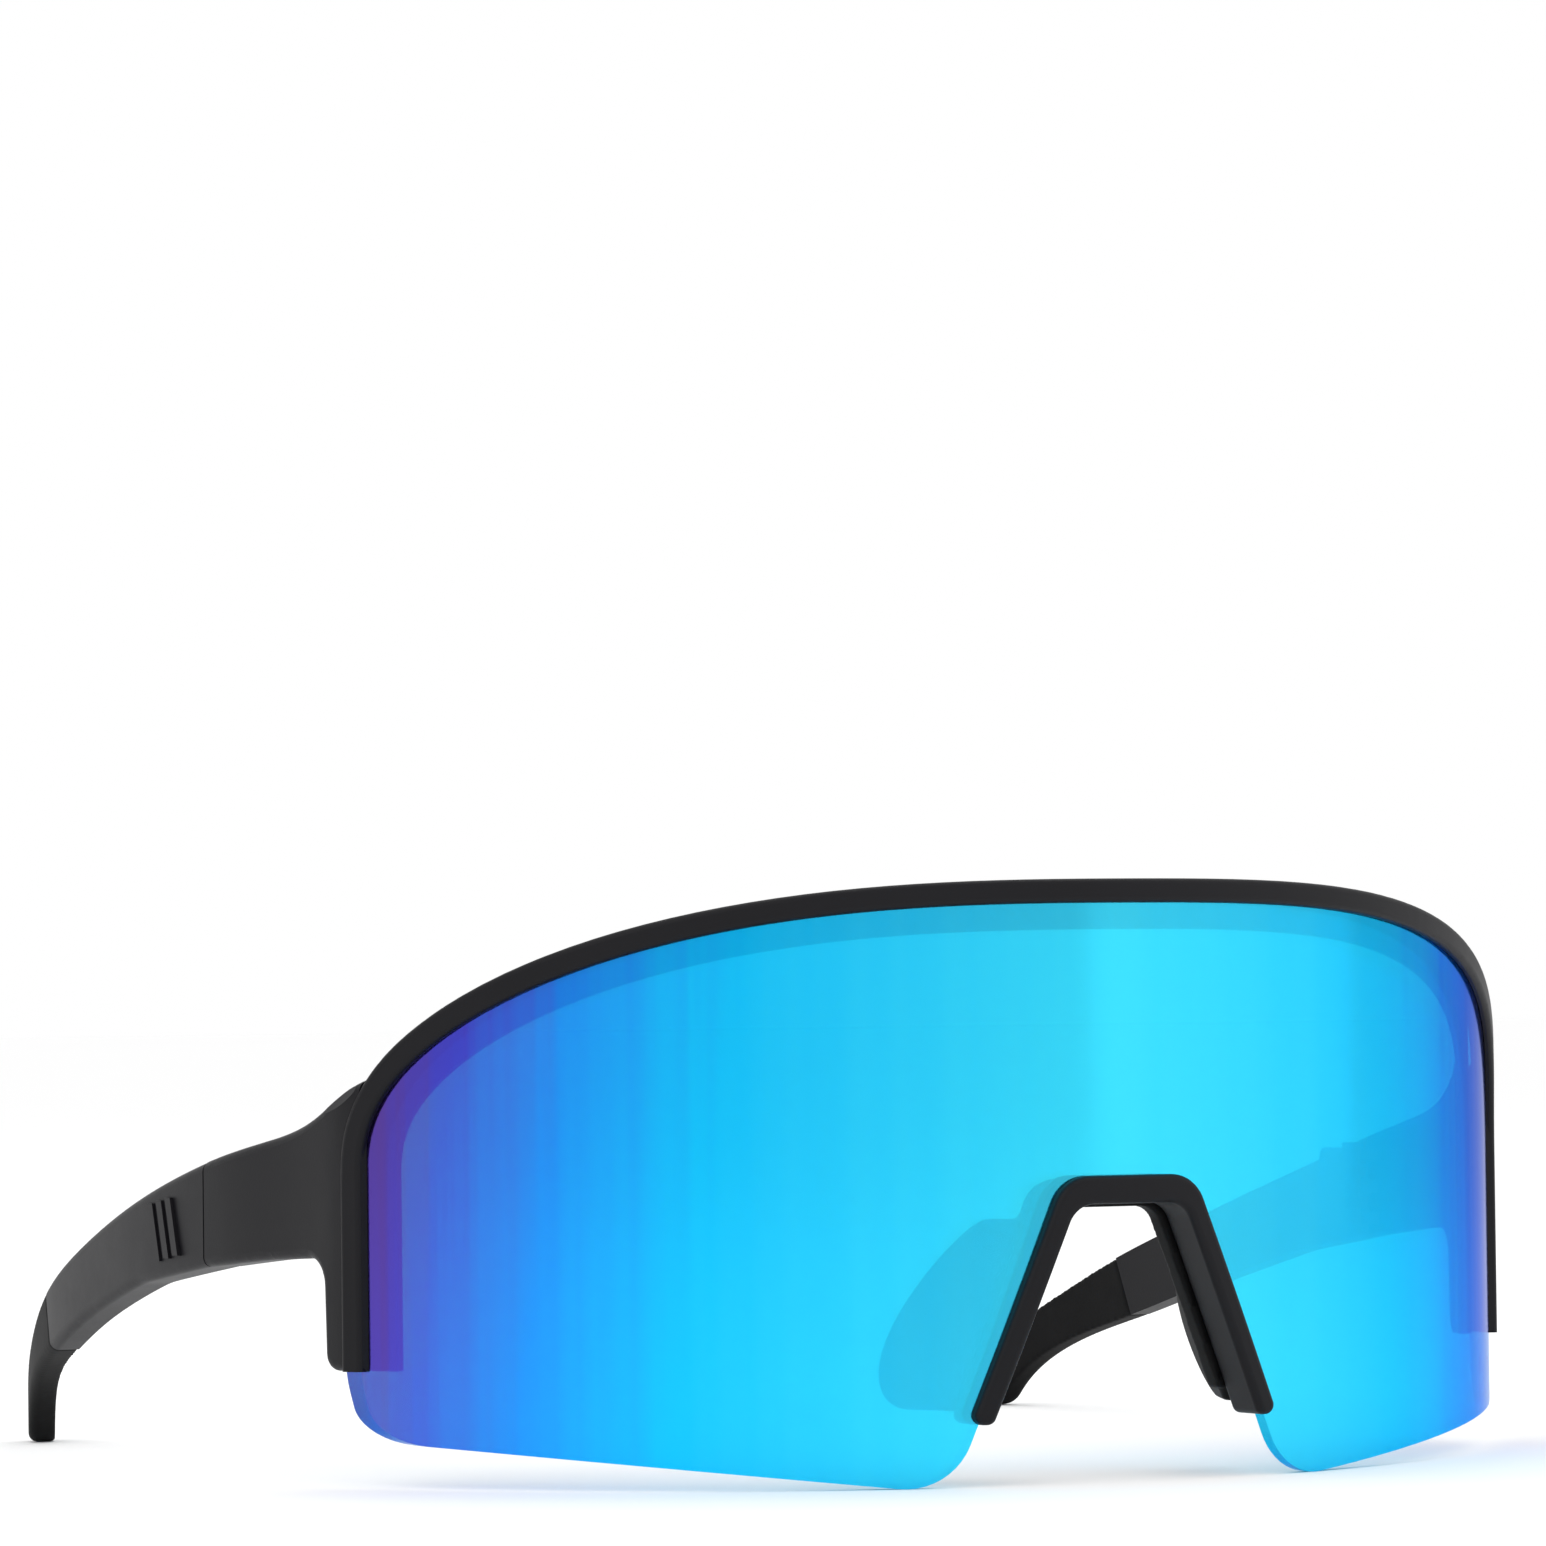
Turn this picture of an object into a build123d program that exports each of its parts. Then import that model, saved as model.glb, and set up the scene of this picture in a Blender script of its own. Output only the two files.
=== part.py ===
from build123d import *
import os
from math import copysign, cos, pi, sin, sqrt

# Wraparound shield sunglasses.
# +Z is up, the front looks along -Y, the temples run back along +Y, the wearer's face is behind the lens.
# The glasses stand on the two lower tips of the lens and on the two ear tips, all at z = 0.
# Depths are counted backwards from the foremost line of the lens; at() turns them into Y.

# ---- driving dimensions, millimetres ----
FRONT_Y = -73.2

LENS_R = 79.0
LENS_THICK = 1.8
LENS_HALF = 68.6
LENS_RISE = 29.2
ARCH_SPRING_Z = 31.9
ARCH_N = 3.0
ARCH_M = 2.5
LENS_FIT = 0.05

RIM_HALF = 69.8
RIM_RISE = 30.4
RIM_LEG_Z = 12.1
LIP_TOP = 2.5
LIP_LEG = 2.7
LIP_PROUD = 1.0
REAR_LIP = 5.2
REAR_LIP_THICK = 1.4

NOSE_HALF_HIGH = 8.3
NOSE_KNEE_Z = 27.1
NOSE_TOP_Z = 30.2
NOSE_SLOPE = 0.4165

HINGE_DEPTH = 68.15
SEAM_GAP = 0.3
EDGE_ROUND = 1.0
HINGE_X = -68.5
HINGE_Z = 28.0
SEAM_LOW_Z = 22.4
SEAM_HIGH_Z = 33.7
KNUCKLE_R = 1.5
KNUCKLE_H = 1.5
KNUCKLE_GAP = 0.3
SCREW_R = 0.7
SCREW_BORE_R = 0.75
SCREW_HEAD_R = 1.25
SCREW_HEAD_H = 0.7
LEAF_THICK = 0.8
LEAF_FIT = 0.05

GRIP_START = 121.0
TONGUE_END = 140.0
TONGUE_FIT = 0.05
GRIP_SEAM = 0.12

CLIP_HALF = 1.25
CLIP_FOOT_Z = 6.4
CLIP_PROUD = 1.3
CLIP_BACK = 2.6

PAD_GAP = 0.03
PAD_THICK = 2.4
PAD_FOOT_Z = 9.0
PAD_WIRE_R = 0.5
PAD_WIRE_FIT = 0.03
PAD_WIRE_FOOT_Z = 11.5
WING_THICK = 1.9
# height, backward reach and sideways flare of the nose wing, from its foot up
WING_LEVELS = [
    (7.6, 5.0, 2.3),
    (9.0, 8.6, 3.6),
    (13.0, 11.0, 4.4),
    (18.0, 10.4, 4.4),
    (23.0, 7.4, 4.0),
    (27.2, 3.4, 2.6),
]

AXIS_Y = FRONT_Y + LENS_R


def at(depth):
    """Y of a point this far behind the foremost line of the lens."""
    return FRONT_Y + depth


def lens_y(x):
    """Y of the lens front surface at this x."""
    return AXIS_Y - sqrt(LENS_R**2 - x**2)


def nose_half(z):
    """Half width of the lens cut-out over the nose at this height."""
    return NOSE_HALF_HIGH + NOSE_SLOPE * (NOSE_KNEE_Z - z)


# ---- the arch that the lens and the frame share ----
def arch_point(turn, half, rise):
    """Point of a superellipse arch in front view; turn 0 is the right spring line, pi the left one."""
    c = cos(turn)
    s = max(sin(turn), 0.0)
    x = copysign(half * abs(c) ** (2 / ARCH_N), c)
    z = ARCH_SPRING_Z + rise * s ** (2 / ARCH_M)
    return (x, z)


def arch_turns(count):
    """Turns from the right spring line to the left one, closer together at the ends."""
    return [pi * (0.5 - 0.5 * cos(pi * i / count)) for i in range(count + 1)]


def rim_plane(turn):
    """Section plane of the rim: X is the lens normal, Y points away from the lens within its surface."""
    step = 0.002
    x, z = arch_point(turn, RIM_HALF, RIM_RISE)
    centre = Vector(x, lens_y(x), z)
    normal = Vector(x / LENS_R, (lens_y(x) - AXIS_Y) / LENS_R, 0)
    if turn < step or turn > pi - step:
        along = Vector(0, 0, 1 if x > 0 else -1)
    else:
        xa, za = arch_point(turn - step, RIM_HALF, RIM_RISE)
        xb, zb = arch_point(turn + step, RIM_HALF, RIM_RISE)
        along = Vector(xb - xa, lens_y(xb) - lens_y(xa), zb - za)
    return Plane(origin=centre, x_dir=normal, z_dir=along)


def rim_profile(lip):
    """L-shaped section of the rim: a front lip over the lens and a wider lip behind it."""
    back = -LENS_THICK - REAR_LIP_THICK
    shoulder = -LENS_THICK / 2
    soft = 0.6
    with BuildSketch(mode=Mode.PRIVATE) as profile:
        with BuildLine():
            outside = FilletPolyline(
                (shoulder, -lip),
                (LIP_PROUD, -lip),
                (LIP_PROUD, 0),
                (back, 0),
                (back, -REAR_LIP),
                (shoulder, -REAR_LIP),
                radius=[soft, soft, soft, soft / 2],
            )
            Line(outside @ 1, outside @ 0)
        make_face()
    return profile.sketch


def lens_outline(grow):
    """Front view of the lens: arch above, cut low at the outer corners and dipping to two tips."""
    corner_r = 4.5
    tip_r = 7.0
    tip_z = -0.53
    half = LENS_HALF + grow
    crown = [arch_point(t, half, LENS_RISE + grow) for t in arch_turns(24)[1:-1]]
    with BuildSketch(mode=Mode.PRIVATE) as outline:
        with BuildLine():
            Spline(
                (half, ARCH_SPRING_Z),
                *crown,
                (-half, ARCH_SPRING_Z),
                tangents=[(0, 1), (0, -1)],
            )
            for side in (-1, 1):
                FilletPolyline(
                    (side * half, ARCH_SPRING_Z),
                    (side * (half + 0.3), 11.7),
                    (side * (half - 0.7), 4.85 - grow),
                    (side * (nose_half(tip_z) - grow), tip_z - grow),
                    (side * (NOSE_HALF_HIGH - 0.6 - grow), NOSE_KNEE_Z + 1.6),
                    (side * (NOSE_HALF_HIGH - 2.2 - grow), NOSE_TOP_Z - grow),
                    (0, NOSE_TOP_Z - grow),
                    radius=[25, corner_r, tip_r, 2.2, 1.0],
                )
        make_face()
    return outline.sketch


def nose_gap(grow, top, foot, corner_r):
    """Front view of the tapered nose gap, its sides moved outwards from the lens edge by grow."""
    low = nose_half(foot) + grow
    high = nose_half(top) + grow
    with BuildSketch(mode=Mode.PRIVATE) as outline:
        with BuildLine():
            FilletPolyline(
                (low, foot),
                (high, top),
                (-high, top),
                (-low, foot),
                radius=[corner_r, corner_r],
            )
            Line((-low, foot), (low, foot))
        make_face()
    return outline.sketch


def shell(inner_r, outer_r, height):
    """Upright cylindrical shell about the lens axis."""
    with BuildPart(mode=Mode.PRIVATE) as ring:
        with BuildSketch(Plane((0, AXIS_Y, 0))):
            Circle(outer_r)
            Circle(inner_r, mode=Mode.SUBTRACT)
        extrude(amount=height)
    return ring.part


def finish(piece, name):
    """Label a finished piece and write its STEP."""
    piece.label = name
    export_step(piece, f"parts/{name}.step")


def lens_sheet(fit):
    """Cylindrical sheet cut to the lens outline, grown all round by a fit."""
    with BuildPart(mode=Mode.PRIVATE) as sheet:
        add(shell(LENS_R - LENS_THICK - fit, LENS_R + fit, 70))
        with BuildSketch(Plane.XZ):
            add(lens_outline(fit))
        extrude(amount=LENS_R, mode=Mode.INTERSECT)
    return sheet.part


# ---- lens: one cylindrical sheet, cut out over the nose ----
with BuildPart() as lens:
    add(lens_sheet(0))
lens_room = lens_sheet(LENS_FIT)


# ---- hinges: two metal leaves moulded into the plastic, five knuckles and a screw ----
LEAF_OUT_X = HINGE_X - KNUCKLE_R - 0.75
LEAF_LENGTH = 8.0
LEAF_START = 1.9
STACK_H = 5 * KNUCKLE_H + 4 * KNUCKLE_GAP
HINGE_BASE_Z = HINGE_Z - STACK_H / 2


def knuckle_z(index):
    """Underside of a knuckle, counted from the bottom."""
    return HINGE_BASE_Z + index * (KNUCKLE_H + KNUCKLE_GAP)


def leaf_plate(way, grow):
    """The flat of a hinge leaf beside the seam; way is -1 towards the frame, 1 towards the temple."""
    near = at(HINGE_DEPTH) + way * (LEAF_START - grow)
    far = at(HINGE_DEPTH) + way * (LEAF_START + LEAF_LENGTH + grow)
    with BuildPart(mode=Mode.PRIVATE) as plate:
        with BuildSketch(Plane.XY.offset(HINGE_BASE_Z - grow)):
            with BuildLine():
                Polyline(
                    (LEAF_OUT_X - grow, near),
                    (LEAF_OUT_X - grow, far),
                    (LEAF_OUT_X + LEAF_THICK, far),
                    (LEAF_OUT_X + LEAF_THICK, near),
                    close=True,
                )
            make_face()
        extrude(amount=STACK_H + 2 * grow)
    return plate.part


def hinge_pocket(side):
    """Room in the plastic for a hinge leaf."""
    return leaf_plate(-1 if side == "frame" else 1, LEAF_FIT)


def hinge_leaf(way, knuckles):
    """Left-hand hinge leaf: plate, knuckles round the screw and the webs between them."""
    axis = (HINGE_X, at(HINGE_DEPTH))
    root_y = at(HINGE_DEPTH) + way * (LEAF_START + 0.4)
    with BuildPart(mode=Mode.PRIVATE) as leaf:
        add(leaf_plate(way, 0))
        for index in knuckles:
            with BuildSketch(Plane.XY.offset(knuckle_z(index))):
                with Locations(axis):
                    Circle(KNUCKLE_R)
                with BuildLine():
                    Polyline(
                        (HINGE_X - KNUCKLE_R, at(HINGE_DEPTH)),
                        (HINGE_X + 0.4, at(HINGE_DEPTH) + way * 0.9),
                        (LEAF_OUT_X + LEAF_THICK, root_y + way * 1.0),
                        (LEAF_OUT_X + LEAF_THICK / 2, root_y),
                        close=True,
                    )
                make_face()
            extrude(amount=KNUCKLE_H)
        with BuildSketch(Plane.XY.offset(HINGE_BASE_Z - 1)):
            with Locations(axis):
                Circle(SCREW_BORE_R)
        extrude(amount=STACK_H + 2, mode=Mode.SUBTRACT)
        far = leaf.edges().filter_by(Axis.X).group_by(Axis.Y)[0 if way < 0 else -1]
        fillet(far, radius=1.2)
    return leaf.part


# ---- brow frame: rim over the lens, two legs, two end pieces that carry the hinges ----
def lip_width(turn):
    """Width of the front lip: slim over the brow, wider down the legs."""
    return LIP_LEG + (LIP_TOP - LIP_LEG) * sin(turn) ** 2


def side_plan(outer, inner):
    """Plan view of a bowed strip on the left, between two runs of (half width, depth) points."""
    with BuildSketch(mode=Mode.PRIVATE) as plan:
        with BuildLine():
            out_points = [(-x, at(d)) for x, d in outer]
            in_points = [(-x, at(d)) for x, d in inner]
            Spline(*out_points)
            Line(out_points[-1], in_points[-1])
            Spline(*in_points)
            Line(in_points[0], out_points[0])
        make_face()
    return plan.sketch


def end_piece_profile():
    """Side view of the end piece, from the leg back to the hinge seam, as (depth, height)."""
    seam = HINGE_DEPTH - SEAM_GAP / 2
    with BuildSketch(mode=Mode.PRIVATE) as profile:
        with BuildLine():
            low = FilletPolyline(
                (at(39), RIM_LEG_Z),
                (at(45.4), RIM_LEG_Z),
                (at(45.8), 23.8),
                (at(56), 23.4),
                (at(seam), SEAM_LOW_Z),
                radius=[1.8, 3.0, 30],
            )
            Line(low @ 1, (at(seam), SEAM_HIGH_Z))
            top = Spline(
                (at(seam), SEAM_HIGH_Z),
                (at(58), 35.7),
                (at(51), 37.2),
                (at(46), 39.1),
                (at(42.4), 41.0),
                (at(39), 42.6),
                tangents=[(-1, 0.22), (-1, 0.42)],
            )
            Line(top @ 1, low @ 0)
        make_face()
    return profile.sketch


def front_envelope():
    """Front view of the left side, out to which the end piece and temple may bulge."""
    with BuildSketch(mode=Mode.PRIVATE) as outline:
        with BuildLine():
            edge = Spline(
                (-76.4, 24),
                (-76.2, 31),
                (-74.6, 34.8),
                (-71.8, 37.6),
                (-69.9, 40.4),
                (-68.3, 43.6),
                (-65.6, 47.6),
                tangents=[(0, 1), (0.65, 1)],
            )
            Polyline(edge @ 1, (-50, 50), (-50, -1), (-76.4, -1), edge @ 0)
        make_face()
    return outline.sketch


def lengthwise(edge):
    """Whether an edge runs along the side of the head or up and down, not across the strip."""
    span = edge @ 1 - edge @ 0
    return abs(span.X) < 0.75 * span.length and abs(span.Y) > 0.01


def left_strip(plan, profile):
    """Left-hand piece with this plan view and side view, rounded outside, within the front envelope."""
    with BuildPart(mode=Mode.PRIVATE) as strip:
        with BuildSketch(Plane.XY):
            add(plan)
        extrude(amount=60)
        with BuildSketch(Plane.YZ):
            add(profile)
        extrude(amount=-90, mode=Mode.INTERSECT)
        outer_face = strip.faces().filter_by(lambda face: face.normal_at().X < -0.8)[0]
        fillet(outer_face.edges().filter_by(lengthwise), radius=EDGE_ROUND)
        with BuildSketch(Plane.XZ):
            add(front_envelope())
        extrude(amount=90, both=True, mode=Mode.INTERSECT)
    return strip.part


END_PIECE_OUTER = [(69.2, 39.3), (70.3, 42), (71.0, 46), (72.1, 53), (73.7, 61), (74.7, 68)]
END_PIECE_INNER = [(64.6, 39.6), (67.3, 46), (69.0, 53), (70.0, 61), (70.4, 68)]

with BuildPart() as brow_frame:
    for turn in arch_turns(16):
        with BuildSketch(rim_plane(turn)):
            add(rim_profile(lip_width(turn)))
    loft()
    for turn in (0, pi):
        with BuildSketch(rim_plane(turn)):
            add(rim_profile(LIP_LEG))
        extrude(amount=RIM_LEG_Z - ARCH_SPRING_Z if turn == 0 else ARCH_SPRING_Z - RIM_LEG_Z)
    end_piece = left_strip(side_plan(END_PIECE_OUTER, END_PIECE_INNER), end_piece_profile())
    add(end_piece)
    mirror(end_piece, about=Plane.YZ)
    add(lens_room, mode=Mode.SUBTRACT)
    add(hinge_pocket("frame"), mode=Mode.SUBTRACT)
    mirror(hinge_pocket("frame"), about=Plane.YZ, mode=Mode.SUBTRACT)


# ---- temples: plastic arms with a tongue that the rubber ear grip covers ----
TEMPLE_OUTER = [(74.7, 68.3), (75.2, 79), (74.2, 101), (72.1, 118), (69.0, 132), (65.8, 142), (63.0, 149)]
TEMPLE_INNER = [(70.4, 68.3), (71.1, 79), (70.5, 101), (68.6, 118), (65.7, 132), (62.5, 142), (59.7, 149)]
TIP_R = 3.1
TIP_DEPTH = 144.4


def temple_profile():
    """Side view of the whole arm: a tapering blade that turns down behind the ear."""
    with BuildSketch(mode=Mode.PRIVATE) as profile:
        with BuildLine():
            top = Spline(
                (at(68.3), SEAM_HIGH_Z - 0.1),
                (at(88), 28.9),
                (at(108), 23.3),
                (at(126), 17.1),
                (at(138.5), 11.0),
                (at(TIP_DEPTH + 0.85 * TIP_R), TIP_R + 0.53 * TIP_R),
                tangents=[(1, -0.22), (0.53, -0.85)],
            )
            tip = TangentArc(
                top @ 1,
                (at(TIP_DEPTH - 0.82 * TIP_R), TIP_R - 0.572 * TIP_R),
                tangent=top % 1,
            )
            low = Spline(
                tip @ 1,
                (at(134), 7.3),
                (at(121), 11.4),
                (at(104), 16.0),
                (at(88), 19.7),
                (at(68.3), SEAM_LOW_Z),
                tangents=[tip % 1, (-1, 0.13)],
            )
            Line(low @ 1, top @ 0)
        make_face()
    return profile.sketch


def relief_bars():
    """Three slanted bars, raised on the outer face of the left arm."""
    bar_w = 1.5
    bar_h = 6.2
    lean = 2.0
    pitch = 2.5
    with BuildPart(mode=Mode.PRIVATE) as bars:
        for i in range(3):
            y = at(73.6) + i * pitch
            z = 23.5 - 0.35 * i
            with BuildSketch(Plane.YZ.offset(-74)):
                with BuildLine():
                    Polyline(
                        (y, z),
                        (y + bar_w, z),
                        (y + bar_w + lean, z + bar_h),
                        (y + lean, z + bar_h),
                        close=True,
                    )
                make_face()
            extrude(amount=-1.5)
    return bars.part


def beyond(depth, way):
    """Large block that starts at a plane across the arm; way is 1 for the ear side, -1 for the hinge side."""
    slope = 0.4
    across = Plane(origin=(-70, at(depth), 14), x_dir=(1, 0, 0), z_dir=(0, way, -way * slope))
    with BuildPart(mode=Mode.PRIVATE) as block:
        with BuildSketch(across):
            Rectangle(60, 90)
        extrude(amount=120)
    return block.part


def tongue(grow):
    """Thin core at the rear of the arm that the ear grip is pulled over."""
    thick = 0.75 + grow
    middle = [((o[0] + i[0]) / 2, o[1]) for o, i in zip(TEMPLE_OUTER[3:], TEMPLE_INNER[3:])]
    plan = side_plan([(x + thick, d) for x, d in middle], [(x - thick, d) for x, d in middle])
    half = 1.5 + grow
    with BuildPart(mode=Mode.PRIVATE) as core:
        with BuildSketch(Plane.XY):
            add(plan)
        extrude(amount=30)
        with BuildSketch(Plane.YZ):
            with BuildLine():
                Polyline(
                    (at(118.5), 16.1 + half),
                    (at(130), 11.9 + half),
                    (at(TONGUE_END + grow), 6.9 + half),
                    (at(TONGUE_END - 1.5 + grow), 6.9 - half),
                    (at(129), 11.9 - half),
                    (at(118.5), 16.1 - half),
                    close=True,
                )
            make_face()
        extrude(amount=-90, mode=Mode.INTERSECT)
    return core.part


arm = left_strip(side_plan(TEMPLE_OUTER, TEMPLE_INNER), temple_profile())

with BuildPart() as temple_left:
    add(arm)
    add(beyond(GRIP_START - GRIP_SEAM, 1), mode=Mode.SUBTRACT)
    add(tongue(0))
    add(relief_bars())
    add(hinge_pocket("temple"), mode=Mode.SUBTRACT)

with BuildPart() as ear_grip_left:
    add(arm)
    add(beyond(GRIP_START, -1), mode=Mode.SUBTRACT)
    add(tongue(TONGUE_FIT), mode=Mode.SUBTRACT)

with BuildPart() as hinge_screw_left:
    with BuildSketch(Plane((HINGE_X, at(HINGE_DEPTH), HINGE_BASE_Z + 0.1))):
        Circle(SCREW_R)
    extrude(amount=STACK_H - 0.05)
    with BuildSketch(Plane((HINGE_X, at(HINGE_DEPTH), HINGE_BASE_Z + STACK_H + 0.03))):
        Circle(SCREW_HEAD_R)
    extrude(amount=SCREW_HEAD_H)
    fillet(hinge_screw_left.edges().group_by(Axis.Z)[-1], radius=0.2)
    with BuildSketch(Plane((HINGE_X, at(HINGE_DEPTH), HINGE_BASE_Z + STACK_H + 0.03 + SCREW_HEAD_H))):
        Rectangle(2 * SCREW_HEAD_R, 0.35)
    extrude(amount=-0.3, mode=Mode.SUBTRACT)


# ---- nose piece: rigid clip on the lens edge, soft saddle with wings behind it, wire core inside ----
with BuildPart() as nose_bridge:
    with BuildSketch(Plane.XZ) as band:
        add(nose_gap(CLIP_HALF, NOSE_TOP_Z + 1.48, CLIP_FOOT_Z, 4.2))
        add(nose_gap(-CLIP_HALF, NOSE_TOP_Z - 1.45, CLIP_FOOT_Z, 3.0), mode=Mode.SUBTRACT)
        fillet(band.vertices().group_by(Axis.Y)[0], radius=1.0)
    extrude(amount=LENS_R)
    add(shell(LENS_R - LENS_THICK - CLIP_BACK, LENS_R + CLIP_PROUD, 60), mode=Mode.INTERSECT)
    rims = nose_bridge.edges().filter_by(lambda e: e.length > 15)
    fillet(rims, radius=0.7)
    add(lens_room, mode=Mode.SUBTRACT)

PAD_FRONT_R = LENS_R - LENS_THICK - CLIP_BACK - PAD_GAP
PAD_MID_R = PAD_FRONT_R - PAD_THICK / 2


def pad_spot(z, grow):
    """Point in the middle of the saddle's right-hand side at this height, moved outwards by grow."""
    x = nose_half(z) + grow
    return Vector(x, AXIS_Y - sqrt(PAD_MID_R**2 - x**2), z)


def wing_plane(z, reach, flare):
    """Plane of the right-hand nose wing at one height, X along the slant from root to rim."""
    slant = Vector(flare, reach, 0)
    return Plane(origin=pad_spot(z, 0) + slant * 0.5, x_dir=slant, z_dir=(0, 0, 1))


def wire_core(radius, extra):
    """Bent wire through the saddle: up one side, over the nose and down the other."""
    foot = PAD_WIRE_FOOT_Z - extra
    top = pad_spot(NOSE_TOP_Z - 0.4, -0.45)
    low = pad_spot(foot, -0.45)
    with BuildPart(mode=Mode.PRIVATE) as core:
        with BuildLine() as path:
            FilletPolyline(
                low,
                top,
                (-top.X, top.Y, top.Z),
                (-low.X, low.Y, low.Z),
                radius=3,
            )
        with BuildSketch(Plane(origin=path.line @ 0, z_dir=path.line % 0)):
            Circle(radius)
        sweep()
    return core.part


with BuildPart() as wing:
    for z, reach, flare in WING_LEVELS:
        with BuildSketch(wing_plane(z, reach, flare)):
            SlotCenterToCenter(sqrt(reach**2 + flare**2), WING_THICK)
    loft()

with BuildPart() as nose_pad:
    with BuildSketch(Plane.XZ):
        add(nose_gap(1.0, NOSE_TOP_Z + 1.1, PAD_FOOT_Z, 3.9))
        add(nose_gap(-1.9, NOSE_TOP_Z - 1.9, PAD_FOOT_Z, 2.6), mode=Mode.SUBTRACT)
    extrude(amount=LENS_R)
    add(shell(PAD_FRONT_R - PAD_THICK, PAD_FRONT_R, 60), mode=Mode.INTERSECT)
    add(wing.part)
    mirror(wing.part, about=Plane.YZ)
    add(wire_core(PAD_WIRE_R + PAD_WIRE_FIT, PAD_WIRE_FIT), mode=Mode.SUBTRACT)

with BuildPart() as nose_pad_wire:
    add(wire_core(PAD_WIRE_R, 0))


# ---- write every piece, the right-hand ones as mirror twins of the left ----
def right_twin(piece):
    """Mirror image of a left-hand piece."""
    with BuildPart(mode=Mode.PRIVATE) as twin:
        mirror(piece, about=Plane.YZ)
    return twin.part


SIDE_PIECES = {
    "temple": temple_left.part,
    "ear_grip": ear_grip_left.part,
    "hinge_frame_leaf": hinge_leaf(-1, (0, 2, 4)),
    "hinge_temple_leaf": hinge_leaf(1, (1, 3)),
    "hinge_screw": hinge_screw_left.part,
}

os.makedirs("parts", exist_ok=True)
finish(lens.part, "lens")
finish(brow_frame.part, "brow_frame")
finish(nose_bridge.part, "nose_bridge")
finish(nose_pad.part, "nose_pad")
finish(nose_pad_wire.part, "nose_pad_wire")
for name, piece in SIDE_PIECES.items():
    twin = right_twin(piece)
    finish(piece, f"{name}_left")
    finish(twin, f"{name}_right")
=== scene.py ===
"""Wraparound shield sunglasses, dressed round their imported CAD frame."""

import math

import bmesh
import bpy
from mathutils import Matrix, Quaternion, Vector


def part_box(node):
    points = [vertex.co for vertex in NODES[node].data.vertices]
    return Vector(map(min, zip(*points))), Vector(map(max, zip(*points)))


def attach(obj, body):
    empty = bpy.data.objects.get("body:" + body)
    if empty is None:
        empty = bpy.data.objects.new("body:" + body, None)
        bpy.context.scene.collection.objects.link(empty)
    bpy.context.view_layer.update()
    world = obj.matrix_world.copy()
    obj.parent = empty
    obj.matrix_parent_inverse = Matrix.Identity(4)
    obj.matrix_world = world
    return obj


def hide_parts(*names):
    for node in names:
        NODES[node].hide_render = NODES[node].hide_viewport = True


bl_info = {
    "name": "Shield Sunglasses",
    "version": (1, 0, 0),
    "blender": (4, 5, 0),
    "location": "View3D > Sidebar > Sunglasses",
    "description": "Builds the finishes, the fine parts and the stage of a pair of shield sunglasses",
    "category": "Object",
}

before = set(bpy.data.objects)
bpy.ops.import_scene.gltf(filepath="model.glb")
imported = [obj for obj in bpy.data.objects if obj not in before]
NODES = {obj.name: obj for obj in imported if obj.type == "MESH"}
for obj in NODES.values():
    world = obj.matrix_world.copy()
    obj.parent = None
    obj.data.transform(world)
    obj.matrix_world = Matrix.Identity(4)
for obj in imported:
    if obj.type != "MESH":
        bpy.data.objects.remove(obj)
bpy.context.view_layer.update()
SIDES = ("left", "right")

# rubber mouldings
MERGE_DISTANCE = 2e-6
RELAX_FACTOR = 0.5
MOULDINGS = (("nose_pad", "front"), ("ear_grip_left", "left_temple"), ("ear_grip_right", "right_temple"))

# stage
SENSOR = 36.0
CLIP_NEAR = 0.01
CLIP_FAR = 40.0
WORLD_STRENGTH = 1.0
LIGHT_AIM = (0.0, -0.03, 0.03)
# name, place, size, watts and colour of each light
LIGHTS = (
    ("key_light", (-0.9, -0.5, 0.9), (0.8, 0.8), 2.0, (1.0, 0.99, 0.97)),
    ("top_light", (0.1, 0.1, 1.2), (1.2, 1.0), 3.0, (1.0, 1.0, 1.0)),
    ("fill_light", (0.9, -0.8, 0.4), (1.3, 1.4), 1.2, (0.97, 0.99, 1.0)),
)

# lens cylinder
LENS_LOW, LENS_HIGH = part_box("lens")
LENS_RADIUS = 0.079
LENS_AXIS_Y = LENS_LOW[1] + LENS_RADIUS
LENS_WRAP = math.asin(LENS_HIGH[0] / LENS_RADIUS)


# ---- shader helpers ----
class Wire:
    """A shader socket that takes part in Python arithmetic by adding Math nodes."""

    def __init__(self, shader, socket):
        self.shader = shader
        self.socket = socket

    def math(self, operation, *others):
        values = dict(enumerate((self, *others)))
        return self.shader.node("ShaderNodeMath", {"operation": operation}, values).out()

    def __add__(self, other):
        return self.math("ADD", other)

    __radd__ = __add__

    def __mul__(self, other):
        return self.math("MULTIPLY", other)

    __rmul__ = __mul__

    def __sub__(self, other):
        return self.math("SUBTRACT", other)

    def __rsub__(self, other):
        return (self * -1.0) + other

    def __truediv__(self, other):
        return self.math("DIVIDE", other)

    def __abs__(self):
        return self.math("ABSOLUTE")

    def clamped(self):
        """The value kept between nought and one."""
        return self.math("MAXIMUM", 0.0).math("MINIMUM", 1.0)


class Placed:
    """A node that has been added to a shader."""

    def __init__(self, shader, node):
        self.shader = shader
        self.node = node

    def out(self, name=0):
        return Wire(self.shader, self.node.outputs[name])


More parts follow.
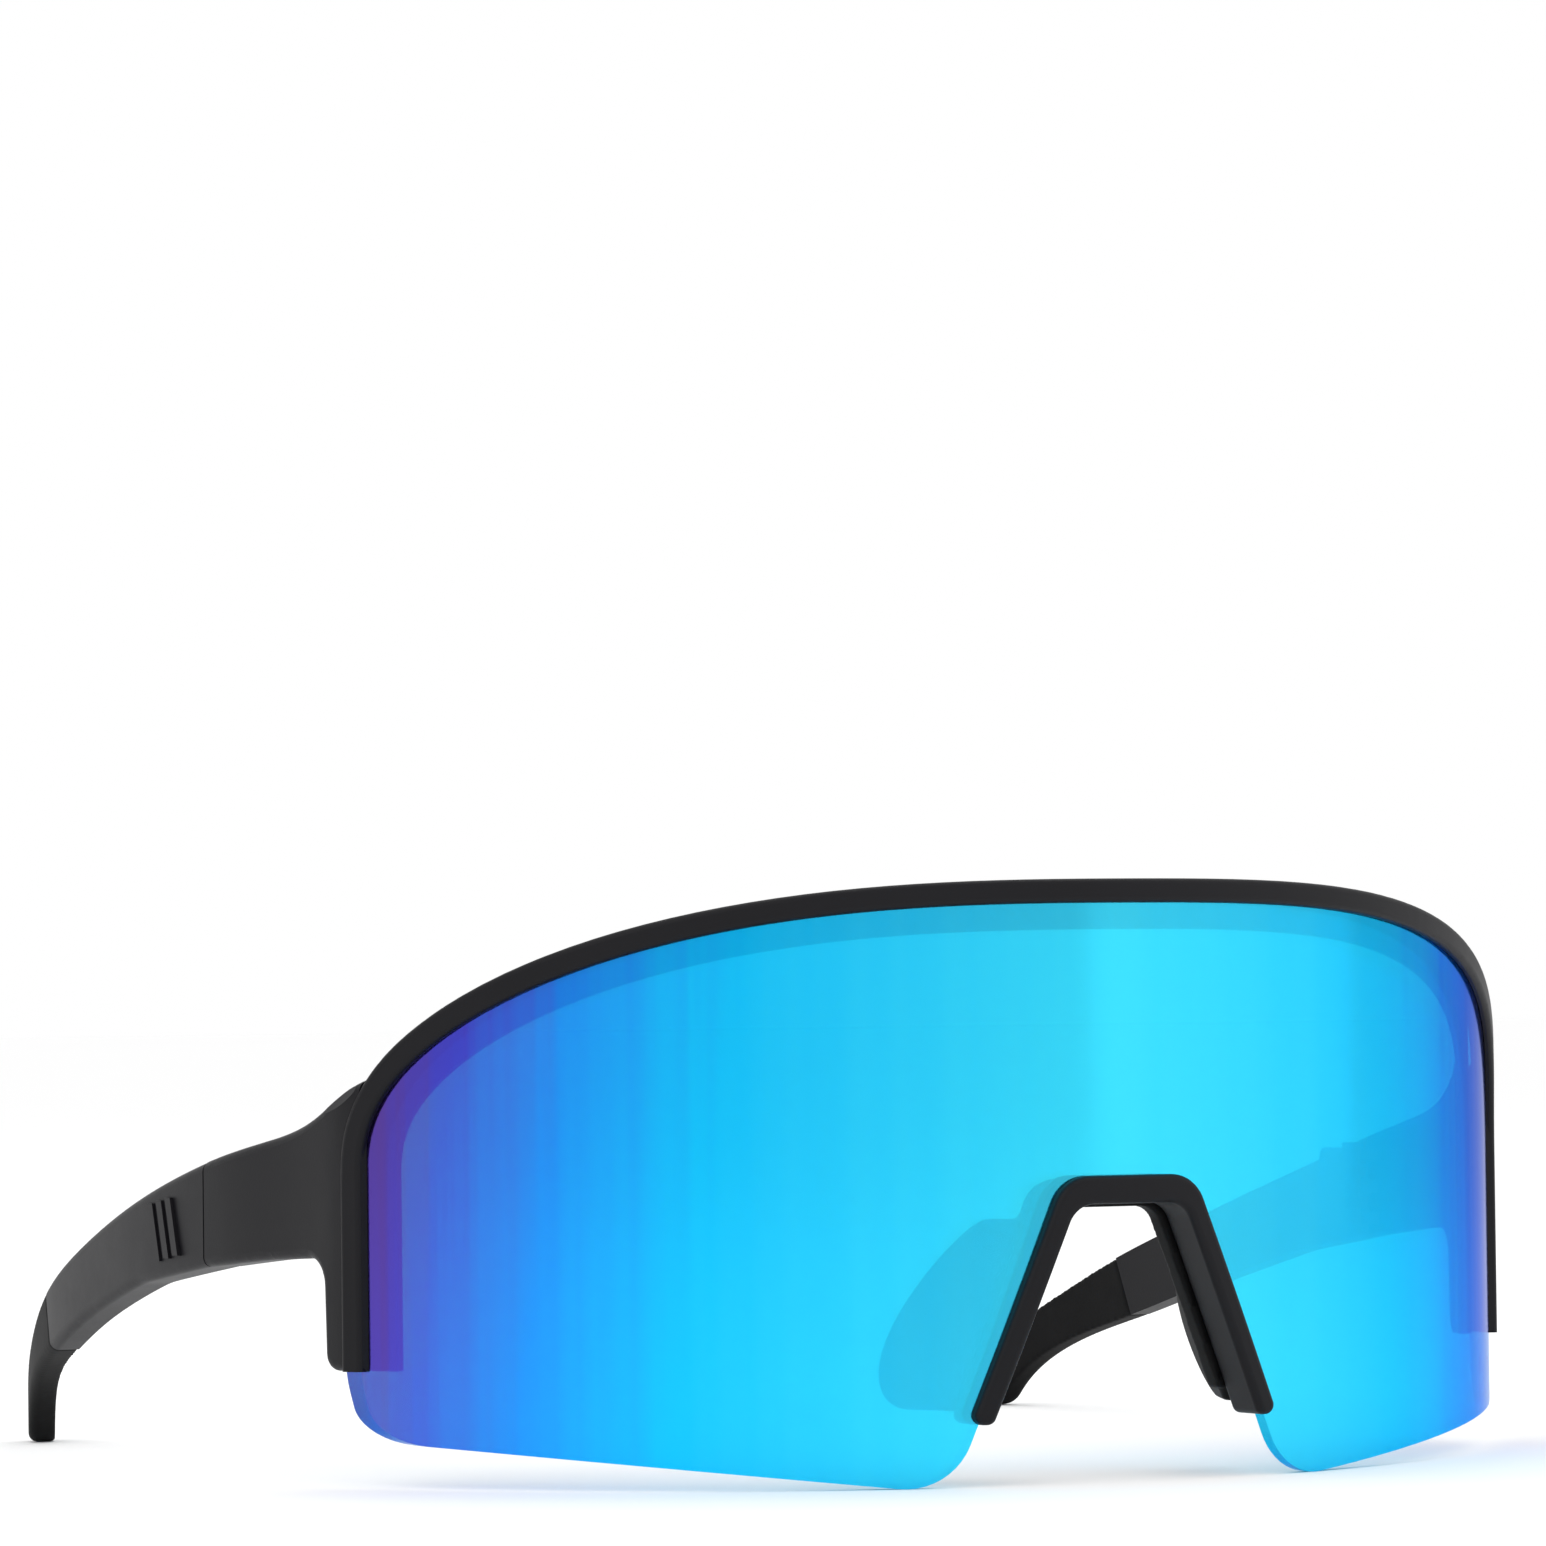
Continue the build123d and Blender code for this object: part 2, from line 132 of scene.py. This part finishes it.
class Shader:
    """A material's node tree, written one node at a time."""

    def __init__(self, name):
        self.material = bpy.data.materials.new(name)
        self.material.use_nodes = True
        self.tree = self.material.node_tree
        self.tree.nodes.clear()

    def node(self, kind, settings=None, inputs=None):
        """Add one node: its type, its settings, and the values or links of its sockets."""
        made = self.tree.nodes.new(kind)
        for key, value in (settings or {}).items():
            if key == "stops":
                self.ramp(made, value)
            else:
                setattr(made, key, value)
        for key, value in (inputs or {}).items():
            if isinstance(value, Wire):
                self.tree.links.new(value.socket, made.inputs[key])
            else:
                made.inputs[key].default_value = value
        return Placed(self, made)

    @staticmethod
    def ramp(node, stops):
        """Set a colour ramp's stops, each a place and a colour."""
        elements = node.color_ramp.elements
        while len(elements) < len(stops):
            elements.new(0.5)
        for element, (place, colour) in zip(elements, stops):
            element.position = place
            element.color = (*colour, 1.0)

    def position(self):
        return self.node("ShaderNodeTexCoord").out("Object")

    def axes(self):
        split = self.node("ShaderNodeSeparateXYZ", None, {0: self.position()})
        return split.out(0), split.out(1), split.out(2)

    def noise(self, scale, detail, roughness, vector=None):
        inputs = {
            "Vector": vector or self.position(),
            "Scale": scale,
            "Detail": detail,
            "Roughness": roughness,
        }
        return self.node("ShaderNodeTexNoise", None, inputs).out(0)

    def mix(self, factor, one, two):
        made = self.node("ShaderNodeMix", {"data_type": "RGBA"}, {0: factor, 6: one, 7: two})
        return made.out(2)

    def bump(self, height, strength, distance):
        inputs = {"Height": height, "Strength": strength, "Distance": distance}
        return self.node("ShaderNodeBump", None, inputs).out(0)

    def output(self, shader):
        self.node("ShaderNodeOutputMaterial", None, {"Surface": shader})
        return self.material

    def surface(self, **inputs):
        """Principled surface; an underscore in an input's name stands for a space."""
        named = {key.replace("_", " "): value for key, value in inputs.items()}
        return self.output(self.node("ShaderNodeBsdfPrincipled", None, named).out())


def colour(value):
    """RGBA of a colour property."""
    return (value[0], value[1], value[2], 1.0)


# ---- materials ----
# A noise is its scale per metre, its detail and its roughness.
# A bump is its strength and its depth in metres.
# A roughness is its base, then what each noise adds to it.
NOISE_MEAN = 0.5

TINT_PLACES = (0.00, 0.54, 0.74, 0.88, 1.00)
STREAKS = (1.0, 3.0, 0.6)
STREAKS_ROUND = 34.0
STREAKS_UP = 6.0
STREAK_SHIFT = 0.16
LEVEL_HEIGHT = 0.03
SHIFT_WITH_HEIGHT = 1.6
SMUDGE = (70.0, 5.0, 0.6)
MIRROR_ROUGHNESS = (0.08, 0.10)
COAT_WEIGHT = 0.2
COAT_ROUGHNESS = 0.04

PLASTIC_GRAIN = (5200.0, 2.0, 0.5)
PLASTIC_CLOUD = (46.0, 4.0, 0.55)
PLASTIC_RUB = (420.0, 6.0, 0.7)
PLASTIC_TONE = (0.8, 0.2)
PLASTIC_ROUGHNESS = (0.34, 0.16, 0.08)
PLASTIC_BUMP = (0.16, 0.00006)
PLASTIC_SPECULAR = 0.17

RUBBER_PEBBLE = (3100.0, 3.0, 0.6)
RUBBER_DUST = (130.0, 6.0, 0.65)
DUST_START = 0.45
DUST_CONTRAST = 2.2
RUBBER_ROUGHNESS = (0.55, 0.18)
RUBBER_BUMP = (0.22, 0.0001)
RUBBER_SPECULAR = 0.12

STEEL_LINES = (1.0, 2.0, 0.5)
LINES_ACROSS = 900.0
LINES_ALONG = 9000.0
STEEL_STAIN = (380.0, 5.0, 0.6)
STEEL_ROUGHNESS = (0.2, 0.2, 0.12)
STEEL_BUMP = (0.12, 0.00004)

PAPER_FIBRE = (900.0, 4.0, 0.6)
PAPER_ROUGHNESS = 0.95
PAPER_BUMP = (0.03, 0.0002)


def lens_coating(look):
    """Mirror coating on a tinted see-through sheet, cyan over the nose and violet at the temples."""
    s = Shader("mirror_coating")
    x, y, z = s.axes()
    angle = x.math("ARCTAN2", LENS_AXIS_Y - y)
    across = abs(angle) / LENS_WRAP
    streak_inputs = {0: angle * STREAKS_ROUND, 1: 0.0, 2: z * STREAKS_UP}
    streak_place = s.node("ShaderNodeCombineXYZ", None, streak_inputs).out()
    streaks = (s.noise(*STREAKS, streak_place) - NOISE_MEAN) * STREAK_SHIFT
    place = (across + streaks + (z - LEVEL_HEIGHT) * SHIFT_WITH_HEIGHT).clamped()
    tints = (look.centre_tint, look.middle_tint, look.outer_tint, look.edge_tint, look.rim_tint)
    stops = list(zip(TINT_PLACES, tints))
    tint = s.node("ShaderNodeValToRGB", {"stops": stops}, {0: place}).out()
    base, from_smudge = MIRROR_ROUGHNESS
    mirror = s.node(
        "ShaderNodeBsdfPrincipled",
        None,
        {
            "Base Color": tint,
            "Metallic": 1.0,
            "Roughness": s.noise(*SMUDGE) * from_smudge + base,
            "Specular Tint": colour(look.grazing_tint),
            "Coat Weight": COAT_WEIGHT,
            "Coat Roughness": COAT_ROUGHNESS,
        },
    ).out()
    through = s.node("ShaderNodeBsdfTransparent", None, {"Color": colour(look.through_tint)}).out()
    share = (1.0 - across * look.edge_darkening) * look.see_through
    return s.output(s.node("ShaderNodeMixShader", None, {0: share, 1: mirror, 2: through}).out())


def soft_touch_plastic(look):
    """Matte black moulded plastic with a spark-eroded grain and slightly rubbed patches."""
    s = Shader("soft_touch_black")
    cloud = s.noise(*PLASTIC_CLOUD)
    rubbed = s.noise(*PLASTIC_RUB)
    tone_of_cloud, tone_of_rub = PLASTIC_TONE
    wear = (cloud * tone_of_cloud + rubbed * tone_of_rub).clamped()
    base, from_cloud, from_rub = PLASTIC_ROUGHNESS
    return s.surface(
        Base_Color=s.mix(wear, colour(look.plastic_dark), colour(look.plastic_light)),
        Roughness=(cloud * from_cloud + rubbed * from_rub + base).clamped(),
        Normal=s.bump(s.noise(*PLASTIC_GRAIN), *PLASTIC_BUMP),
        Specular_IOR_Level=PLASTIC_SPECULAR,
    )


def silicone_rubber(look):
    """Dull black silicone with a fine pebble and a little dust in random patches."""
    s = Shader("silicone_black")
    dust = s.noise(*RUBBER_DUST)
    dusty = ((dust - DUST_START) * DUST_CONTRAST).clamped()
    base, from_dust = RUBBER_ROUGHNESS
    return s.surface(
        Base_Color=s.mix(dusty, colour(look.rubber_dark), colour(look.rubber_dust)),
        Roughness=(dust * from_dust + base).clamped(),
        Normal=s.bump(s.noise(*RUBBER_PEBBLE), *RUBBER_BUMP),
        Specular_IOR_Level=RUBBER_SPECULAR,
    )


def hinge_steel(look):
    """Tumbled nickel steel with short draw lines."""
    s = Shader("hinge_steel")
    x, y, z = s.axes()
    line_inputs = {0: x * LINES_ACROSS, 1: y * LINES_ACROSS, 2: z * LINES_ALONG}
    lines = s.noise(*STEEL_LINES, s.node("ShaderNodeCombineXYZ", None, line_inputs).out())
    stain = s.noise(*STEEL_STAIN)
    base, from_lines, from_stain = STEEL_ROUGHNESS
    return s.surface(
        Base_Color=s.mix(stain, colour(look.steel), colour(look.steel_stain)),
        Metallic=1.0,
        Roughness=(lines * from_lines + stain * from_stain + base).clamped(),
        Normal=s.bump(lines, *STEEL_BUMP),
    )


def stage_paper(look):
    """Seamless pale paper."""
    s = Shader("stage_paper")
    fibre = s.noise(*PAPER_FIBRE)
    return s.surface(
        Base_Color=s.mix(fibre, colour(look.paper), colour(look.paper_fibre)),
        Roughness=PAPER_ROUGHNESS,
        Normal=s.bump(fibre, *PAPER_BUMP),
    )


def dress(nodes, material):
    """Give CAD nodes one material."""
    for name in nodes:
        slots = NODES[name].data.materials
        slots.clear()
        slots.append(material)


# ---- meshes ----
def plain_copy(node):
    """New object with a node's mesh, its loose triangles joined."""
    shape = bmesh.new()
    shape.from_mesh(NODES[node].data)
    bmesh.ops.remove_doubles(shape, verts=shape.verts, dist=MERGE_DISTANCE)
    mesh = bpy.data.meshes.new(node + "_moulding")
    shape.to_mesh(mesh)
    shape.free()
    made = bpy.data.objects.new(node + "_moulding", mesh)
    bpy.context.scene.collection.objects.link(made)
    return made


def applied(piece):
    """Replace a piece's mesh with what its modifiers make of it."""
    depsgraph = bpy.context.evaluated_depsgraph_get()
    mesh = bpy.data.meshes.new_from_object(piece.evaluated_get(depsgraph))
    piece.modifiers.clear()
    piece.data = mesh
    return piece


def soft_moulding(node, grid, passes, material):
    """Copy of a soft node on an even grid, its edges relaxed the way moulded silicone comes out."""
    piece = plain_copy(node)
    remesh = piece.modifiers.new("grid", "REMESH")
    remesh.mode = "VOXEL"
    remesh.voxel_size = grid
    relax = piece.modifiers.new("relax", "SMOOTH")
    relax.factor = RELAX_FACTOR
    relax.iterations = passes
    applied(piece)
    piece.data.materials.clear()
    piece.data.materials.append(material)
    piece.data.shade_smooth()
    return piece


# ---- properties ----
def tint_property(name, description, default):
    """Colour property of a finish."""
    return bpy.props.FloatVectorProperty(
        name=name,
        description=description,
        subtype="COLOR",
        default=default,
        min=0.0,
        max=1.0,
    )


def share_property(name, description, default, low=0.0, high=1.0):
    """Property that is a share of a whole."""
    return bpy.props.FloatProperty(
        name=name,
        description=description,
        subtype="FACTOR",
        default=default,
        min=low,
        max=high,
    )


class SunglassesLook(bpy.types.PropertyGroup):
    """Colours and sizes of the finish."""

    centre_tint: tint_property("Centre tint", "Mirror colour over the nose", (0.06, 0.74, 0.98))
    middle_tint: tint_property("Middle tint", "Mirror colour in front of the eyes", (0.0, 0.54, 0.97))
    outer_tint: tint_property("Outer tint", "Mirror colour beside the eyes", (0.015, 0.25, 0.92))
    edge_tint: tint_property("Edge tint", "Mirror colour near the temples", (0.07, 0.07, 0.68))
    rim_tint: tint_property("Rim tint", "Mirror colour at the outer edges", (0.13, 0.06, 0.38))
    grazing_tint: tint_property(
        "Grazing tint", "What the mirror colour turns to at a grazing angle", (0.30, 0.45, 1.0)
    )
    through_tint: tint_property(
        "Sheet tint", "Colour of the light that one face of the lens lets through", (0.18, 0.90, 0.93)
    )
    see_through: share_property(
        "See-through", "Share of the light that each face of the lens lets through", 0.42
    )
    edge_darkening: share_property(
        "Edge darkening", "How much less light the lens lets through at its outer edges", 0.32
    )
    plastic_dark: tint_property("Plastic", "Colour of the moulded frame", (0.0030, 0.0030, 0.0040))
    plastic_light: tint_property(
        "Plastic, rubbed", "Colour of the frame where hands have rubbed it", (0.0085, 0.0080, 0.0105)
    )
    rubber_dark: tint_property(
        "Rubber", "Colour of the nose saddle and ear grips", (0.0022, 0.0022, 0.0026)
    )
    rubber_dust: tint_property("Rubber dust", "Colour of the dust on the rubber", (0.009, 0.0088, 0.009))
    rubber_grid: bpy.props.FloatProperty(
        name="Rubber grid",
        description="Spacing of the mesh of the rubber parts",
        unit="LENGTH",
        default=0.00028,
        min=0.0001,
        precision=5,
    )
    rubber_softness: bpy.props.IntProperty(
        name="Rubber softness",
        description="How many times the edges of the rubber parts are relaxed",
        default=5,
        min=0,
        max=40,
    )
    steel: tint_property("Hinge steel", "Colour of the hinge leaves and screws", (0.16, 0.16, 0.17))
    steel_stain: tint_property(
        "Hinge steel, stained", "Colour of the blackened patches on the hinges", (0.07, 0.07, 0.075)
    )
    paper: tint_property("Paper", "Colour of the floor", (1.0, 1.0, 1.0))
    paper_fibre: tint_property(
        "Paper fibre", "Colour of the darker fibres in the paper", (0.985, 0.985, 0.985)
    )


class StageSetup(bpy.types.PropertyGroup):
    """Camera and floor."""

    distance: bpy.props.FloatProperty(
        name="Camera distance",
        description="From the camera to the middle of the front",
        unit="LENGTH",
        default=0.836,
        min=0.1,
    )
    turn: bpy.props.FloatProperty(
        name="Camera turn",
        description="How far round to the left the camera stands",
        subtype="ANGLE",
        default=math.radians(28.25),
    )
    lift: bpy.props.FloatProperty(
        name="Camera lift",
        description="How far above the horizon the camera stands",
        subtype="ANGLE",
        default=math.radians(1.24),
    )
    roll: bpy.props.FloatProperty(
        name="Camera roll",
        description="How far the camera leans, clockwise as seen through it",
        subtype="ANGLE",
        default=math.radians(0.68),
    )
    lens: bpy.props.FloatProperty(
        name="Camera lens",
        description="Focal length in millimetres",
        default=180.2,
        min=10.0,
    )
    target_depth: bpy.props.FloatProperty(
        name="Target depth",
        description="How far behind the front of the lens the middle of the front is taken",
        unit="LENGTH",
        default=0.040,
    )
    target_height: bpy.props.FloatProperty(
        name="Target height",
        description="Height of the middle of the front above the floor",
        unit="LENGTH",
        default=0.0316,
    )
    right_of_centre: share_property(
        "Right of centre", "How far right the target stands, as a share of the width", 0.111, -0.5, 0.5
    )
    below_centre: share_property(
        "Below centre", "How low the target stands, as a share of the width", 0.257, -0.5, 0.5
    )
    floor_reach: bpy.props.FloatProperty(
        name="Floor reach",
        description="Half width of the paper floor",
        unit="LENGTH",
        default=14.0,
        min=0.5,
    )


# ---- operators ----
class SUNGLASSES_OT_lens(bpy.types.Operator):
    """Coat the lens"""

    bl_idname = "sunglasses.lens"
    bl_label = "Lens"

    def execute(self, context):
        dress(["lens"], lens_coating(context.scene.sunglasses_look))
        return {"FINISHED"}


class SUNGLASSES_OT_plastic(bpy.types.Operator):
    """Finish the brow frame, the nose clip and the temples"""

    bl_idname = "sunglasses.plastic"
    bl_label = "Plastic parts"

    def execute(self, context):
        material = soft_touch_plastic(context.scene.sunglasses_look)
        dress(["brow_frame", "nose_bridge", "temple_left", "temple_right"], material)
        return {"FINISHED"}


class SUNGLASSES_OT_rubber(bpy.types.Operator):
    """Mould the nose saddle and the ear grips with the soft edges of silicone"""

    bl_idname = "sunglasses.rubber"
    bl_label = "Rubber parts"

    def execute(self, context):
        look = context.scene.sunglasses_look
        material = silicone_rubber(look)
        for node, body in MOULDINGS:
            moulding = soft_moulding(node, look.rubber_grid, look.rubber_softness, material)
            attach(moulding, body)
            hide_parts(node)
        return {"FINISHED"}


class SUNGLASSES_OT_metal(bpy.types.Operator):
    """Finish the hinges, the screws and the wire core"""

    bl_idname = "sunglasses.metal"
    bl_label = "Metal parts"

    def execute(self, context):
        material = hinge_steel(context.scene.sunglasses_look)
        dress(["nose_pad_wire"], material)
        for side in SIDES:
            hinge = ("hinge_frame_leaf", "hinge_temple_leaf", "hinge_screw")
            dress([f"{part}_{side}" for part in hinge], material)
        return {"FINISHED"}


def area_light(name, place, size, watts, tint):
    """Soft rectangular light aimed at the front of the glasses."""
    data = bpy.data.lights.new(name, "AREA")
    data.shape = "RECTANGLE"
    data.size, data.size_y = size
    data.energy = watts
    data.color = tint
    lamp = bpy.data.objects.new(name, data)
    lamp.location = place
    lamp.rotation_euler = (Vector(LIGHT_AIM) - Vector(place)).to_track_quat("-Z", "Y").to_euler()
    bpy.context.scene.collection.objects.link(lamp)


def paper_floor(reach, material):
    """Square floor under the glasses."""
    mesh = bpy.data.meshes.new("paper_floor")
    shape = bmesh.new()
    corners = [(-reach, -reach, 0), (reach, -reach, 0), (reach, reach, 0), (-reach, reach, 0)]
    shape.faces.new([shape.verts.new(c) for c in corners])
    shape.to_mesh(mesh)
    shape.free()
    mesh.materials.append(material)
    floor = bpy.data.objects.new("paper_floor", mesh)
    bpy.context.scene.collection.objects.link(floor)
    return floor


def white_world():
    """Even white surroundings."""
    world = bpy.data.worlds.new("studio")
    world.use_nodes = True
    background = world.node_tree.nodes["Background"]
    background.inputs["Color"].default_value = (1.0, 1.0, 1.0, 1.0)
    background.inputs["Strength"].default_value = WORLD_STRENGTH
    return world


def aimed_camera(setup):
    """Camera turned so that the target stands aside from the middle of the frame."""
    target = Vector((0.0, LENS_LOW[1] + setup.target_depth, setup.target_height))
    turn, lift = setup.turn, setup.lift
    back = Vector((-math.sin(turn) * math.cos(lift), -math.cos(turn) * math.cos(lift), math.sin(lift)))
    data = bpy.data.cameras.new("camera")
    data.sensor_width = SENSOR
    data.lens = setup.lens
    data.clip_start = CLIP_NEAR
    data.clip_end = CLIP_FAR
    camera = bpy.data.objects.new("camera", data)
    camera.location = target + back * setup.distance
    level = (-back).to_track_quat("-Z", "Y")
    lean = Quaternion((0, 0, 1), -setup.roll)
    seen_at = Vector((setup.right_of_centre * SENSOR, -setup.below_centre * SENSOR, -setup.lens))
    aside = seen_at.rotation_difference(Vector((0, 0, -1)))
    camera.rotation_euler = (level @ lean @ aside).to_euler()
    bpy.context.scene.collection.objects.link(camera)
    return camera


class SUNGLASSES_OT_stage(bpy.types.Operator):
    """Lay the paper floor and set the lights and the camera"""

    bl_idname = "sunglasses.stage"
    bl_label = "Stage"

    def execute(self, context):
        scene = context.scene
        setup = scene.sunglasses_stage
        floor = paper_floor(setup.floor_reach, stage_paper(scene.sunglasses_look))
        scene.world = white_world()
        scene.view_settings.view_transform = "Standard"
        for light in LIGHTS:
            area_light(*light)
        scene.camera = aimed_camera(setup)
        return {"FINISHED"}


class SUNGLASSES_PT_panel(bpy.types.Panel):
    """Lists the steps that build the sunglasses"""

    bl_idname = "SUNGLASSES_PT_panel"
    bl_label = "Shield Sunglasses"
    bl_space_type = "VIEW_3D"
    bl_region_type = "UI"
    bl_category = "Sunglasses"

    def draw(self, context):
        for step in STEPS:
            self.layout.operator(step.bl_idname)
        for settings in (context.scene.sunglasses_look, context.scene.sunglasses_stage):
            for name in settings.bl_rna.properties.keys():
                if name not in ("rna_type", "name"):
                    self.layout.prop(settings, name)


STEPS = (
    SUNGLASSES_OT_lens,
    SUNGLASSES_OT_plastic,
    SUNGLASSES_OT_rubber,
    SUNGLASSES_OT_metal,
    SUNGLASSES_OT_stage,
)
CLASSES = (SunglassesLook, StageSetup, *STEPS, SUNGLASSES_PT_panel)


def register():
    for cls in CLASSES:
        bpy.utils.register_class(cls)
    bpy.types.Scene.sunglasses_look = bpy.props.PointerProperty(type=SunglassesLook)
    bpy.types.Scene.sunglasses_stage = bpy.props.PointerProperty(type=StageSetup)


def unregister():
    del bpy.types.Scene.sunglasses_stage
    del bpy.types.Scene.sunglasses_look
    for cls in reversed(CLASSES):
        bpy.utils.unregister_class(cls)


def main():
    register()
    for step in STEPS:
        group, name = step.bl_idname.split(".")
        getattr(getattr(bpy.ops, group), name)()


if __name__ == "__main__":
    main()
